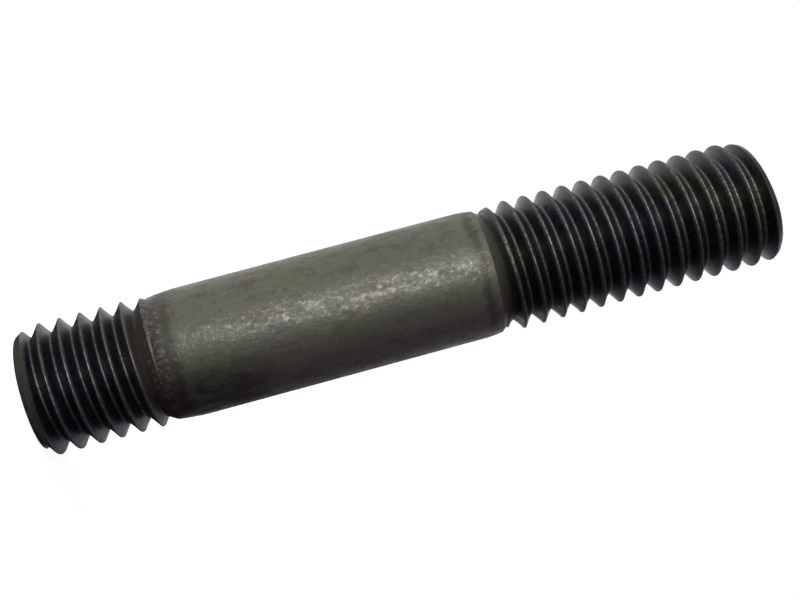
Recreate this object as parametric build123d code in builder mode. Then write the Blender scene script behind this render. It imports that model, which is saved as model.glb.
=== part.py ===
from build123d import *
import os
from math import radians, tan

os.makedirs("parts", exist_ok=True)

# Double ended stud: one steel bar, threaded at both ends, with a plain shank between them.
# It stands on the face of its short (metal) end: Z runs along the bar, Z = 0 is that face.

# ---- driving dimensions, mm ----
thread_d = 7.95             # over the thread crests, M8 less its class 6g allowance
pitch = 1.25                # M8 coarse, right hand
overall_length = 46.05      # along the axis
metal_end_length = 9.25     # short end, set for good into the casting, with its shoulder
metal_thread_length = 7.95  # from the end face to the neck where this thread runs out
nut_end_length = 18.1       # long end, takes the nut, with its shoulder
nut_thread_length = 17.35
shank_d = 7.9               # plain bar between the two shoulders
metal_chamfer_run = 0.75    # each end chamfer, along the axis and inwards
metal_chamfer_drop = 0.48
nut_chamfer_run = 0.65
nut_chamfer_drop = 0.3
nut_face_lean = 6           # degrees by which the cropped nut end is out of square
nut_face_high_side = 56     # degrees round from +X to where that face stands highest
metal_neck_drop = 0.23      # how far each neck lies below the thread crests
nut_neck_drop = 0.36
metal_shoulder_run = 0.75   # first easy slope off the shank, along the axis and inwards
metal_shoulder_drop = 0.055
nut_shoulder_run = 0.45
nut_shoulder_drop = 0.1
crest_cone_deg = 20         # slope on which the first crests rise out of a neck
root_cone_deg = 30          # slope on which the last roots rise to a neck
nut_thread_turn = -85       # the nut thread is started this far round from the metal one

# ---- thread form: 60 degree flanks, the narrow crest drawn as an edge, the root flared ----
crest_r = thread_d / 2
shank_r = shank_d / 2
thread_depth = 0.57 * pitch
root_r = crest_r - thread_depth
flank_r = crest_r - thread_depth / 2     # here the straight flank turns into the root
flank_run = pitch / 16 + thread_depth / 2 * tan(radians(30))

# ---- heights and radii of the necks and shoulders ----
metal_neck_r = crest_r - metal_neck_drop
metal_neck_z = metal_thread_length
metal_shank_z = metal_end_length
nut_neck_r = crest_r - nut_neck_drop
nut_neck_z = overall_length - nut_thread_length
nut_shank_z = overall_length - nut_end_length
land = pitch / 16           # straight piece of the root cone past each neck
overlap = pitch / 2         # how far threads and bar run into each other inside the steel
crest_slope = tan(radians(crest_cone_deg))
root_slope = tan(radians(root_cone_deg))


def screw_thread(low_z, high_z, turn_deg):
    # One turn of thread is four ruled strips between helices: from the root line up both
    # slopes of a flank to the crest edge and down again. The turns are stacked a pitch
    # apart. Below and above they are closed by a winding floor between the axis and the
    # root line, and by the upright step which it leaves.
    form = [
        (root_r, 0),
        (flank_r, pitch / 2 - flank_run),
        (crest_r, pitch / 2),
        (flank_r, pitch / 2 + flank_run),
        (root_r, pitch),
    ]
    edges = [Helix(pitch, pitch, r, center=(0, 0, low_z + rise)).edge() for r, rise in form]
    strips = [Face.make_surface_from_curves(a, b) for a, b in zip(edges, edges[1:])]
    axis_line = Line((0, 0, low_z), (0, 0, low_z + pitch)).edge()
    floor = Face.make_surface_from_curves(axis_line, edges[0])
    corners = [(r, 0, low_z + rise) for r, rise in form]
    outline = Polyline((0, 0, low_z), *corners, (0, 0, low_z + pitch), close=True)
    step = Face(Wire(outline.edges()))
    turns = int((high_z - low_z) / pitch) + 1
    faces = [Pos(0, 0, turn * pitch) * strip for turn in range(turns) for strip in strips]
    faces += [Pos(0, 0, turn * pitch) * end for turn in (0, turns) for end in (floor, step)]
    return Rot(0, 0, turn_deg + 360 * low_z / pitch) * Solid(Shell(faces))


# Both threads are made longer than they will be at each of their ends.
metal_thread = screw_thread(-2 * pitch, metal_neck_z + overlap, 0)
nut_thread = screw_thread(nut_neck_z - 2 * pitch, overall_length + pitch, nut_thread_turn)

with BuildPart() as stud:
    add(metal_thread)
    add(nut_thread)

    # The metal end face, its chamfer and the crest cones bound both threads.
    wide_r = crest_r + overlap
    sink = overlap * crest_slope
    metal_cone = metal_chamfer_run / metal_chamfer_drop
    with BuildSketch(Plane.XZ):
        with BuildLine():
            Polyline(
                (0, 0),
                (crest_r - metal_chamfer_drop, 0),
                (wide_r, metal_chamfer_run + overlap * metal_cone),
                (wide_r, metal_neck_z - (wide_r - metal_neck_r) / crest_slope),
                (metal_neck_r - sink, metal_neck_z + overlap),
                (nut_neck_r - sink, nut_neck_z - overlap),
                (wide_r, nut_neck_z + (wide_r - nut_neck_r) / crest_slope),
                (wide_r, overall_length + overlap),
                (0, overall_length + overlap),
                close=True,
            )
        make_face()
    revolve(axis=Axis.Z, mode=Mode.INTERSECT)

    # The nut end was cropped a little out of square, and its chamfer follows its face.
    lean = Rot(0, 0, nut_face_high_side) * Rot(0, -nut_face_lean, 0)
    nut_face = Plane(Pos(0, 0, overall_length) * lean)
    rim_r = crest_r - nut_chamfer_drop
    with BuildSketch(Plane(nut_face.origin, x_dir=nut_face.x_dir, z_dir=-nut_face.y_dir)):
        with BuildLine():
            Polyline(
                (0, 0),
                (rim_r, 0),
                (rim_r + 3 * nut_chamfer_drop, -3 * nut_chamfer_run),
                (rim_r + 3 * nut_chamfer_drop, pitch),
                (0, pitch),
                close=True,
            )
        make_face()
    revolve(axis=Axis(nut_face.origin, nut_face.z_dir), mode=Mode.SUBTRACT)

    # The plain bar: root cones, shoulders of two easy slopes each, and the shank.
    core_r = root_r - thread_depth / 2
    metal_core_z = metal_neck_z - (metal_neck_r - core_r) / root_slope
    nut_core_z = nut_neck_z + (nut_neck_r - core_r) / root_slope
    with BuildSketch(Plane.XZ):
        with BuildLine():
            Polyline(
                (0, metal_core_z),
                (core_r, metal_core_z),
                (metal_neck_r + land * root_slope, metal_neck_z + land),
                (shank_r - metal_shoulder_drop, metal_shank_z - metal_shoulder_run),
                (shank_r, metal_shank_z),
                (shank_r, nut_shank_z),
                (shank_r - nut_shoulder_drop, nut_shank_z + nut_shoulder_run),
                (nut_neck_r + land * root_slope, nut_neck_z - land),
                (core_r, nut_core_z),
                (0, nut_core_z),
                close=True,
            )
        make_face()
    revolve(axis=Axis.Z)

stud.part.label = "stud"
export_step(stud.part, "parts/stud.step")
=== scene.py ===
import math

import bpy
from mathutils import Matrix, Vector


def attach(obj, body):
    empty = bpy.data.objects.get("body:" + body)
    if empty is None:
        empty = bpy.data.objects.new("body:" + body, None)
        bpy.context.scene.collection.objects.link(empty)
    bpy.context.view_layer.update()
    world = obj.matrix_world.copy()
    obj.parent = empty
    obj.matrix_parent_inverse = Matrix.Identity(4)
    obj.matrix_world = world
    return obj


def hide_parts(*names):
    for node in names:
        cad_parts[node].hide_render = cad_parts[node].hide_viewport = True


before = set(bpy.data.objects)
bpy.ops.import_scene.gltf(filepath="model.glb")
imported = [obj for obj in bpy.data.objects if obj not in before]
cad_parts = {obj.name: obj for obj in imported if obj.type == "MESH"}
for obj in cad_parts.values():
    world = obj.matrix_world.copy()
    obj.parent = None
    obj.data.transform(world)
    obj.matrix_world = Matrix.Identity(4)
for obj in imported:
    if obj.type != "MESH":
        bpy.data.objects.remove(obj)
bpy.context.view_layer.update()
mm = 0.001

# ---- rolled threads ----
# Both threads are rolled into the steel bar, with straight flanks that flare towards
# a small round root, and a narrow rounded crest. Each is made as one long screw,
# a little past both of its ends, and trimmed afterwards.
pitch = 1.25 * mm
crest_r = 3.975 * mm
root_r = crest_r - 0.57 * pitch
thread_steps = 96           # round one turn
spare = 2 * pitch           # past either end
nut_thread_turn = -85       # degrees, against the short end's thread

# The bar's stations along Z, from its short end.
metal_neck_z = 7.95 * mm
metal_shank_z = 9.25 * mm
nut_shank_z = 27.95 * mm
nut_neck_z = 28.70 * mm
top_z = 46.05 * mm


def pick(piece):
    bpy.ops.object.select_all(action="DESELECT")
    piece.select_set(True)
    bpy.context.view_layer.objects.active = piece


def settle():
    bpy.ops.object.transform_apply(location=True, rotation=True, scale=True)


def rolled_thread(name, low_z, turns, start_deg):
    half_form = [           # how far out and how far up each step goes
        (0.012, 0.040),     # round of the root
        (0.048, 0.055),
        (0.130, 0.110),     # flared foot of the flank
        (0.156, 0.124),
        (0.170, 0.124),     # straight flank
        (0.170, 0.116),
        (0.020, 0.016),     # round of the crest
        (0.010, 0.018),
        (0.004, 0.022),
    ]
    rise = sum(out for out, up in half_form)
    half = sum(up for out, up in half_form)
    form = [(out * (crest_r - root_r) / rise, up * pitch / 2 / half) for out, up in half_form]
    form = form + [(-out, up) for out, up in reversed(form)]
    bpy.ops.mesh.primitive_plane_add(size=mm, location=(root_r, 0, low_z))
    thread = bpy.context.object
    thread.name = name
    bpy.ops.object.mode_set(mode="EDIT")
    bpy.ops.mesh.select_mode(type="VERT")
    bpy.ops.mesh.select_all(action="SELECT")
    bpy.ops.mesh.merge(type="CENTER")
    for out, up in form:
        bpy.ops.mesh.extrude_region_move(TRANSFORM_OT_translate={"value": (out, 0, up)})
    bpy.ops.object.mode_set(mode="OBJECT")
    settle()
    turn = thread.modifiers.new("turns", "SCREW")
    turn.axis = "Z"
    turn.angle = 2 * math.pi
    turn.screw_offset = pitch
    turn.iterations = turns
    turn.steps = thread_steps
    turn.render_steps = thread_steps
    turn.use_merge_vertices = False
    bpy.ops.object.modifier_apply(modifier="turns")
    bpy.ops.object.mode_set(mode="EDIT")
    bpy.ops.mesh.select_all(action="SELECT")
    bpy.ops.mesh.remove_doubles(threshold=0.002 * mm)
    # the two open ends, each of which climbs one pitch, are closed by a fan to a point
    high_z = low_z + (turns + 1) * pitch
    climb = 1.2 * pitch
    for z_from, z_to in ((low_z - mm, low_z + climb), (high_z - climb, high_z + mm)):
        bpy.ops.mesh.select_mode(type="EDGE")
        bpy.ops.mesh.select_all(action="DESELECT")
        bpy.ops.object.mode_set(mode="OBJECT")
        use = {}
        for face in thread.data.polygons:
            for key in face.edge_keys:
                use[key] = use.get(key, 0) + 1
        for edge in thread.data.edges:
            zs = [thread.data.vertices[i].co.z for i in edge.vertices]
            edge.select = use.get(edge.key, 0) == 1 and z_from < min(zs) and max(zs) < z_to
        bpy.ops.object.mode_set(mode="EDIT")
        bpy.ops.mesh.extrude_edges_move()
        bpy.ops.mesh.merge(type="CENTER")
    bpy.ops.mesh.select_all(action="SELECT")
    bpy.ops.mesh.normals_make_consistent(inside=False)
    bpy.ops.object.mode_set(mode="OBJECT")
    thread.rotation_euler.z = math.radians(start_deg)
    settle()
    return thread


metal_low = -spare
nut_low = nut_neck_z - spare
metal_thread = rolled_thread("metal_thread", metal_low, 9, 360 * metal_low / pitch)
nut_thread = rolled_thread("nut_thread", nut_low, 18, nut_thread_turn + 360 * nut_low / pitch)

# ---- turned bar ----
# The steel bar between the threads is turned: a plain shank, an easy shoulder at each
# end of it, and the neck at which each thread runs out. The threads are trimmed by
# cones at the necks and by the end chamfers, and the whole is one piece of steel.
shank_r = 3.95 * mm
metal_neck_r = crest_r - 0.23 * mm
nut_neck_r = crest_r - 0.36 * mm
crest_cone = math.tan(math.radians(20))
root_cone = math.tan(math.radians(30))
metal_chamfer_run = 0.75 * mm
metal_chamfer_drop = 0.48 * mm
nut_chamfer_run = 0.65 * mm
nut_chamfer_drop = 0.30 * mm
nut_face_lean = 6           # degrees out of square
nut_face_high_side = 56     # degrees round +Z from +X
metal_rim_r = crest_r - metal_chamfer_drop
nut_rim_r = crest_r - nut_chamfer_drop
overlap = pitch / 2         # how far the trimming tools stand out past the crests
wide_r = crest_r + overlap


def turned(name, stations):
    (z, r), others = stations[0], stations[1:]
    bpy.ops.mesh.primitive_circle_add(
        vertices=thread_steps, radius=r, fill_type="NGON", location=(0, 0, z))
    bar = bpy.context.object
    bar.name = name
    bpy.ops.object.mode_set(mode="EDIT")
    bpy.ops.mesh.select_mode(type="FACE")
    bpy.ops.mesh.select_all(action="SELECT")
    for next_z, next_r in others:
        bpy.ops.mesh.extrude_region_move(TRANSFORM_OT_translate={"value": (0, 0, next_z - z)})
        bpy.ops.transform.resize(value=(next_r / r, next_r / r, 1), center_override=(0, 0, next_z))
        z, r = next_z, next_r
    bpy.ops.mesh.select_all(action="SELECT")
    bpy.ops.mesh.normals_make_consistent(inside=False)
    bpy.ops.object.mode_set(mode="OBJECT")
    settle()
    return bar


def trim(piece, tool, operation):
    pick(piece)
    cut = piece.modifiers.new("trim", "BOOLEAN")
    cut.operation = operation
    cut.object = tool
    cut.solver = "MANIFOLD"
    bpy.ops.object.modifier_apply(modifier="trim")
    bpy.data.objects.remove(tool)


metal_end = turned("metal_end", [
    (0, metal_rim_r - 0.05 * mm),               # the rim's edge is broken
    (0.02 * mm, metal_rim_r - 0.01 * mm),
    (0.07 * mm, metal_rim_r + 0.04 * mm),
    (metal_chamfer_run * (1 + overlap / metal_chamfer_drop), wide_r),
    (metal_neck_z - (wide_r - metal_neck_r) / crest_cone, wide_r),
    (metal_neck_z + overlap, metal_neck_r - overlap * crest_cone),
])
trim(metal_thread, metal_end, "INTERSECT")

nut_end = turned("nut_end", [
    (nut_neck_z - overlap, nut_neck_r - overlap * crest_cone),
    (nut_neck_z + (wide_r - nut_neck_r) / crest_cone, wide_r),
    (top_z + overlap, wide_r),
])
trim(nut_thread, nut_end, "INTERSECT")

# the nut end was cropped out of square, and chamfered square to its own face
past_crest = 3              # times the chamfer
crop = turned("crop", [
    (pitch, nut_rim_r + past_crest * nut_chamfer_drop),
    (-past_crest * nut_chamfer_run, nut_rim_r + past_crest * nut_chamfer_drop),
    (-0.08 * mm, nut_rim_r + 0.035 * mm),       # the rim's edge is broken
    (-0.02 * mm, nut_rim_r - 0.01 * mm),
    (0, nut_rim_r - 0.05 * mm),
])
lean = Matrix.Rotation(math.radians(-nut_face_lean), 4, "Y")
high_side = Matrix.Rotation(math.radians(nut_face_high_side), 4, "Z")
crop.matrix_world = Matrix.Translation((0, 0, top_z)) @ high_side @ lean
pick(crop)
settle()
trim(nut_thread, crop, "DIFFERENCE")

# each shoulder has three slopes: how far along from the shank's end, and how far below it
metal_shoulder = [(-0.75, 0.095), (-0.20, 0.045), (0.25, 0)]
nut_shoulder = [(-0.50, 0), (0, 0.035), (0.45, 0.1)]
core_r = root_r - 0.3 * mm
land = pitch / 16
bar = turned("stud_steel", [
    (metal_neck_z - (metal_neck_r - core_r) / root_cone, core_r),
    (metal_neck_z + land, metal_neck_r + land * root_cone),
    *((metal_shank_z + away * mm, shank_r - drop * mm) for away, drop in metal_shoulder),
    *((nut_shank_z + away * mm, shank_r - drop * mm) for away, drop in nut_shoulder),
    (nut_neck_z - land, nut_neck_r + land * root_cone),
    (nut_neck_z + (nut_neck_r - core_r) / root_cone, core_r),
])
trim(bar, metal_thread, "UNION")
trim(bar, nut_thread, "UNION")
pick(bar)
bpy.ops.object.mode_set(mode="EDIT")
bpy.ops.mesh.select_mode(type="VERT")
bpy.ops.mesh.select_all(action="SELECT")
bpy.ops.mesh.remove_doubles(threshold=0.0003 * mm)
bpy.ops.object.mode_set(mode="OBJECT")
bpy.ops.object.shade_smooth_by_angle(angle=math.radians(32))

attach(bar, "root")
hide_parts("stud")

# ---- black phosphate coat ----
# The finished stud is dipped in a hot phosphate bath and oiled. On the turned bar the
# coat is a dull grey crust of fine crystals, mottled and drawn out along the bar. On the
# rolled threads it is smooth, oily and black, and rubbed thin along crests and roots.
def put(tree, socket, value):
    if isinstance(value, bpy.types.NodeSocket):
        tree.links.new(value, socket)
    elif value is not None:
        socket.default_value = value


def maths(tree, operation, a, b=None, c=None):
    node = tree.nodes.new("ShaderNodeMath")
    node.operation = operation
    for socket, value in zip(node.inputs, (a, b, c)):
        put(tree, socket, value)
    return node.outputs[0]


def product(tree, a, b):
    return maths(tree, "MULTIPLY", a, b)


def ramp(tree, value, low, high, out_low=0.0, out_high=1.0, shape="SMOOTHSTEP"):
    node = tree.nodes.new("ShaderNodeMapRange")
    node.interpolation_type = shape
    for name, number in zip(("Value", "From Min", "From Max", "To Min", "To Max"),
                            (value, low, high, out_low, out_high)):
        put(tree, node.inputs[name], number)
    return node.outputs["Result"]


def grain(tree, place, scale, detail, stretch, roughness=0.6):
    mapping = tree.nodes.new("ShaderNodeMapping")
    mapping.inputs["Scale"].default_value = stretch
    tree.links.new(place, mapping.inputs["Vector"])
    noise = tree.nodes.new("ShaderNodeTexNoise")
    noise.inputs["Scale"].default_value = scale
    noise.inputs["Detail"].default_value = detail
    noise.inputs["Roughness"].default_value = roughness
    tree.links.new(mapping.outputs["Vector"], noise.inputs["Vector"])
    return noise.outputs["Fac"]


def blend(tree, factor, a, b):
    node = tree.nodes.new("ShaderNodeMix")
    node.data_type = "RGBA"
    put(tree, node.inputs["Factor"], factor)
    put(tree, node.inputs[6], a)
    put(tree, node.inputs[7], b)
    return node.outputs[2]


def split_up(tree, vector):
    node = tree.nodes.new("ShaderNodeSeparateXYZ")
    tree.links.new(vector, node.inputs["Vector"])
    return node.outputs["X"], node.outputs["Y"], node.outputs["Z"]


steel_coat = bpy.data.materials.new("black_phosphate")
steel_coat.use_nodes = True
tree = steel_coat.node_tree
coordinates = tree.nodes.new("ShaderNodeTexCoord").outputs
place = coordinates["Object"]
x, y, along = split_up(tree, place)
facing_along = maths(tree, "ABSOLUTE", split_up(tree, coordinates["Normal"])[2])
out = maths(tree, "SQRT", maths(tree, "MULTIPLY_ADD", y, y, product(tree, x, x)))

clouds = grain(tree, place, 300, 3, (1, 1, 0.5), 0.55)
streaks = grain(tree, place, 1500, 3, (1, 1, 0.16))
patches = grain(tree, place, 1500, 4, (1, 1, 0.5))
crystals = grain(tree, place, 4000, 3, (1, 1, 0.8), 0.65)

# the crust: olive and brown clouds, pale streaks, dark blotches, pale and dark crystals
olive = (0.094, 0.108, 0.070, 1)
brown_grey = (0.100, 0.098, 0.076, 1)
crust = blend(tree, ramp(tree, clouds, 0.40, 0.60), olive, brown_grey)
for mottle, low, high, strength, colour in (
    (streaks, 0.46, 0.70, 0.35, (0.140, 0.140, 0.115, 1)),
    (patches, 0.52, 0.32, 0.45, (0.040, 0.034, 0.030, 1)),
    (crystals, 0.54, 0.72, 0.35, (0.190, 0.188, 0.160, 1)),
    (crystals, 0.44, 0.28, 0.35, (0.030, 0.025, 0.024, 1)),
):
    crust = blend(tree, ramp(tree, mottle, low, high, 0.0, strength), crust, colour)

# a thicker, browner crust on both shoulders, and in the last turns of the short thread;
# it is also painted shade, darker where the sloping shoulders turn away from the light
thick_crust_and_shade = (0.034, 0.027, 0.023, 1)
uneven = maths(tree, "MULTIPLY_ADD", crystals, 0.5 * mm, along)
uneven = maths(tree, "MULTIPLY_ADD", patches, 0.9 * mm, uneven)
metal_shoulder_crust_and_shade = product(
    tree,
    ramp(tree, uneven, metal_neck_z - 3.0 * mm, metal_neck_z - 1.0 * mm),
    ramp(tree, uneven, metal_shank_z + 0.95 * mm, metal_shank_z + 0.50 * mm),
)
nut_shoulder_crust_and_shade = product(
    tree,
    ramp(tree, uneven, nut_shank_z + 0.10 * mm, nut_shank_z + 0.45 * mm, 0.0, 0.9),
    ramp(tree, uneven, nut_shank_z + 0.90 * mm, nut_shank_z + 0.60 * mm),
)
# past the nut end's shoulder, the neck groove is darkened as painted shade
nut_groove_shade = ramp(tree, along, nut_shank_z + 0.40 * mm, nut_shank_z + 0.50 * mm)
crust_and_shade_band = maths(tree, "MAXIMUM", maths(tree, "MAXIMUM", metal_shoulder_crust_and_shade, nut_shoulder_crust_and_shade), nut_groove_shade)
crust = blend(tree, product(tree, crust_and_shade_band, 0.78), crust, thick_crust_and_shade)

# pale specks next to the short thread's neck
pale_speck = (0.200, 0.180, 0.160, 1)
from_neck = maths(tree, "ABSOLUTE", maths(tree, "SUBTRACT", along, metal_neck_z + 0.1 * mm))
specks = product(
    tree, ramp(tree, crystals, 0.50, 0.62), ramp(tree, from_neck, 0.9 * mm, 0.3 * mm))
crust = blend(tree, product(tree, specks, 0.6), crust, pale_speck)

# darker brown patches along one side of the shank, towards the short thread
dark_brown = (0.012, 0.008, 0.006, 1)
darker_side_angle = math.radians(18)
side = product(tree, x, math.cos(darker_side_angle) / shank_r)
side = maths(tree, "MULTIPLY_ADD", y, math.sin(darker_side_angle) / shank_r, side)
darker_side_patches = product(
    tree, ramp(tree, side, 0.72, 0.96), ramp(tree, uneven, 17.0 * mm, 12.0 * mm))
darker_side_patches = product(tree, darker_side_patches, ramp(tree, patches, 0.62, 0.42, 0.45, 0.80))
crust = blend(tree, darker_side_patches, crust, dark_brown)

# the threads: where the coat is black, and where crests and roots are rubbed
green_black = (0.0058, 0.0060, 0.0038, 1)
violet_black = (0.0050, 0.0038, 0.0070, 1)
green_steel = (0.112, 0.112, 0.088, 1)
violet_steel = (0.104, 0.098, 0.108, 1)
on_metal_thread = ramp(tree, along, metal_neck_z + 0.3 * mm, metal_neck_z - 2.0 * mm)
on_nut_thread = ramp(tree, along, nut_neck_z - 0.2 * mm, nut_neck_z + 0.9 * mm)
threaded = maths(tree, "MAXIMUM", on_metal_thread, on_nut_thread)
worn = ramp(tree, crystals, 0.36, 0.58, 0.35, 1.0)
crest = ramp(tree, out, 3.77 * mm, 3.93 * mm)
not_end_face = ramp(tree, facing_along, 0.96, 0.85)
root = product(tree, ramp(tree, out, 3.345 * mm, 3.275 * mm, 0.0, 0.9), not_end_face)
rubbed = product(tree, maths(tree, "MAXIMUM", crest, root), worn)
oily = blend(tree, ramp(tree, clouds, 0.44, 0.56), green_black, violet_black)
bright = blend(tree, ramp(tree, clouds, 0.40, 0.60), green_steel, violet_steel)
oily = blend(tree, rubbed, oily, bright)

# the end chamfer of the short thread is turned, and painted paler grey as a painted reflection of
# the white floor it faces
floor_reflection_grey = (0.088, 0.098, 0.080, 1)
painted_floor_reflection = ramp(tree, along, 0.80 * mm, 0.55 * mm, 0.0, 0.75)
oily = blend(tree, painted_floor_reflection, oily, floor_reflection_grey)

color = blend(tree, threaded, crust, oily)
glint = ramp(tree, crystals, 0.54, 0.68, 0.0, 0.30)
metallic = blend(tree, threaded, glint, rubbed)
polish = maths(tree, "MULTIPLY_ADD", patches, 0.5, product(tree, crystals, 0.5))
roughness = ramp(
    tree, polish, 0.40, 0.60,
    maths(tree, "MULTIPLY_ADD", threaded, -0.14, 0.52),
    maths(tree, "MULTIPLY_ADD", threaded, -0.08, 0.32),
)
roughness = maths(tree, "MULTIPLY_ADD", metallic, 0.22, roughness)

# crystals and patches stand up as relief, four times less on the threads
relief = maths(tree, "MULTIPLY_ADD", patches, 0.35, crystals)
relief = maths(tree, "MULTIPLY_ADD", streaks, 0.12, relief)
lumps = product(tree, relief, maths(tree, "MULTIPLY_ADD", threaded, -0.75, 1.0))
bump = tree.nodes.new("ShaderNodeBump")
bump.inputs["Strength"].default_value = 1.0
bump.inputs["Distance"].default_value = 0.026 * mm
tree.links.new(lumps, bump.inputs["Height"])
steel = tree.nodes["Principled BSDF"]
tree.links.new(bump.outputs["Normal"], steel.inputs["Normal"])
tree.links.new(color, steel.inputs["Base Color"])
tree.links.new(metallic, steel.inputs["Metallic"])
tree.links.new(roughness, steel.inputs["Roughness"])
steel.inputs["Specular IOR Level"].default_value = 0.26

bar.data.materials.clear()
bar.data.materials.append(steel_coat)

# ---- floor ----
# The stud stands on a plain floor of matt white paint, one flat disc that keeps its
# soft shadow. Floor and air both glow white where they are looked at or reflected,
# as in an all white studio, and the air lights the surfaces only faintly.
floor_r = 1.2
near_stud = 0.02
far_from_stud = 0.12
near_glow = 0.9
fill_light = 0.12
fill_tint = (1.0, 0.64, 1.15, 1)
white = (1, 1, 1, 1)


def seen_directly(tree):
    rays = tree.nodes.new("ShaderNodeLightPath").outputs
    seen = maths(tree, "MAXIMUM", rays["Is Camera Ray"], rays["Is Glossy Ray"])
    return maths(tree, "MAXIMUM", seen, rays["Is Transmission Ray"])


bpy.ops.mesh.primitive_circle_add(
    vertices=96, radius=floor_r, fill_type="NGON", location=(0, 0, 0))
floor = bpy.context.object
floor.name = "floor"
paint = bpy.data.materials.new("white_floor")
paint.use_nodes = True
tree = paint.node_tree
matt = tree.nodes["Principled BSDF"]
matt.inputs["Base Color"].default_value = (0.8, 0.8, 0.8, 1)
matt.inputs["Roughness"].default_value = 0.9
matt.inputs["Specular IOR Level"].default_value = 0.1
distance = tree.nodes.new("ShaderNodeVectorMath")
distance.operation = "LENGTH"
tree.links.new(tree.nodes.new("ShaderNodeTexCoord").outputs["Object"], distance.inputs[0])
level = ramp(
    tree, distance.outputs["Value"], near_stud, far_from_stud, near_glow, 1.0, shape="LINEAR")
glow = tree.nodes.new("ShaderNodeEmission")
put(tree, glow.inputs["Strength"], product(tree, level, seen_directly(tree)))
both = tree.nodes.new("ShaderNodeAddShader")
tree.links.new(matt.outputs["BSDF"], both.inputs[0])
tree.links.new(glow.outputs["Emission"], both.inputs[1])
tree.links.new(both.outputs["Shader"], tree.nodes["Material Output"].inputs["Surface"])
floor.data.materials.append(paint)

world = bpy.data.worlds.new("studio")
bpy.context.scene.world = world
world.use_nodes = True
air = world.node_tree
background = air.nodes["Background"]
seen = seen_directly(air)
put(air, background.inputs["Strength"], ramp(air, seen, 0.0, 1.0, fill_light, 1.0))
put(air, background.inputs["Color"], blend(air, seen, fill_tint, white))

# ---- camera ----
# Close to the stud, a little above its middle, and turned so that the standing bar lies
# across the view with its short end at the left.
right = Vector((0.22005, 0.15887, 0.96246))
up = Vector((-0.56418, -0.78417, 0.25843))
back = Vector((0.79579, -0.59987, -0.08292))
camera_place = Vector((63.12, -47.20, 16.26)) * mm
camera = bpy.data.objects.new("camera", bpy.data.cameras.new("camera"))
bpy.context.scene.collection.objects.link(camera)
camera_turn = Matrix((right, up, back)).transposed().to_4x4()
camera.matrix_world = Matrix.Translation(camera_place) @ camera_turn
camera.data.lens = 57.95
camera.data.clip_start = 1 * mm
camera.data.clip_end = 10
bpy.context.scene.camera = camera

# ---- soft boxes ----
# Three fabric soft boxes stand round the bar. The flash is seen only as the highlight,
# the key only lights surfaces, and a small one looks at the nut end. Angle is how far
# a box stands from the camera towards the top of the view, height is along the bar.
facing = -36.8              # the bar's side towards the camera, round +Z from +X
box_distance = 170
warm_white = (1.0, 0.98, 0.95)
green_white = (0.95, 1.0, 0.89)


def around(angle):
    turn = math.radians(facing - angle)
    return Vector((math.cos(turn), math.sin(turn), 0))


def soft_box(name, angle, height, width, length, watts, colour):
    data = bpy.data.lights.new(name, "AREA")
    data.shape = "RECTANGLE"
    data.size = width * mm
    data.size_y = length * mm
    data.energy = watts
    data.color = colour
    light = bpy.data.objects.new(name, data)
    bpy.context.scene.collection.objects.link(light)
    direction = around(angle)
    light.location = (direction * box_distance + Vector((0, 0, height))) * mm
    light.rotation_euler = direction.to_track_quat("Z", "Y").to_euler()
    light.visible_camera = False
    return light


flash = soft_box("flash", 18, 25, 88, 100, 0.48, warm_white)
flash.visible_diffuse = False
soft_box("end", 12, 125, 60, 50, 0.04, warm_white)
key = soft_box("key", 55, 30, 150, 180, 0.35, green_white)
key.visible_glossy = False

# ---- dark card and mat ----
# A dark, matt card lies along the other side of the stud, so that this side of the
# steel falls off into shade, and a matching mat keeps the floor out of the shaded side's
# reflections. Both are flat sheets that only reflections see, and both glow: painted reflections.
front = around(0)
below = -around(90)
upright = Vector((0, 0, 1))
mat_shade = (0.02, 0.015, 0.018, 1)
card_shade = (0.03, 0.020, 0.028, 1)
lilac_glow = (0.68, 0.63, 0.77, 1)
pale_glow = (0.8, 0.75, 0.75, 1)
black = (0.0, 0.0, 0.0, 1)


def painted_reflection_sheet(name, place, width_way, face_way, width, length):
    bpy.ops.mesh.primitive_grid_add(x_subdivisions=4, y_subdivisions=4, size=1, location=(0, 0, 0))
    sheet = bpy.context.object
    sheet.name = name
    sheet.matrix_world = (
        Matrix.Translation(place * mm)
        @ Matrix((width_way, face_way.cross(width_way), face_way)).transposed().to_4x4()
        @ Matrix.Diagonal((width * mm, length * mm, 1, 1))
    )
    material = bpy.data.materials.new(name + "_painted_reflection")
    material.use_nodes = True
    sheet_surface = material.node_tree.nodes["Principled BSDF"]
    sheet_surface.inputs["Base Color"].default_value = (0.06, 0.05, 0.06, 1)
    sheet_surface.inputs["Roughness"].default_value = 1.0
    sheet_surface.inputs["Specular IOR Level"].default_value = 0.0
    sheet_surface.inputs["Emission Strength"].default_value = 1.0
    sheet.data.materials.append(material)
    sheet.visible_camera = False
    sheet.visible_diffuse = False
    sheet.visible_shadow = False
    return material.node_tree, sheet_surface.inputs["Emission Color"]


card_place = below * 42 - front * 30 + upright * 150
tree, card_glow = painted_reflection_sheet("shade_card", card_place, front, below, 340, 298)
# its glow, a painted reflection, is lighter towards both of its long edges, and darkest next to
# the floor
across, down = split_up(tree, tree.nodes.new("ShaderNodeTexCoord").outputs["Object"])[:2]
glow = blend(tree, ramp(tree, across, 0.12, -0.08), card_shade, lilac_glow)
glow = blend(tree, ramp(tree, across, 0.20, 0.50, 0.0, 0.7), glow, pale_glow)
glow = blend(tree, ramp(tree, down, 0.37, 0.48, 0.0, 0.75), glow, black)
put(tree, card_glow, glow)

mat_place = below * 39 + front * 40 + upright * 0.01
tree, mat_glow = painted_reflection_sheet("shade_mat", mat_place, front, upright, 200, 102)
put(tree, mat_glow, mat_shade)

bpy.context.scene.view_settings.view_transform = "Standard"
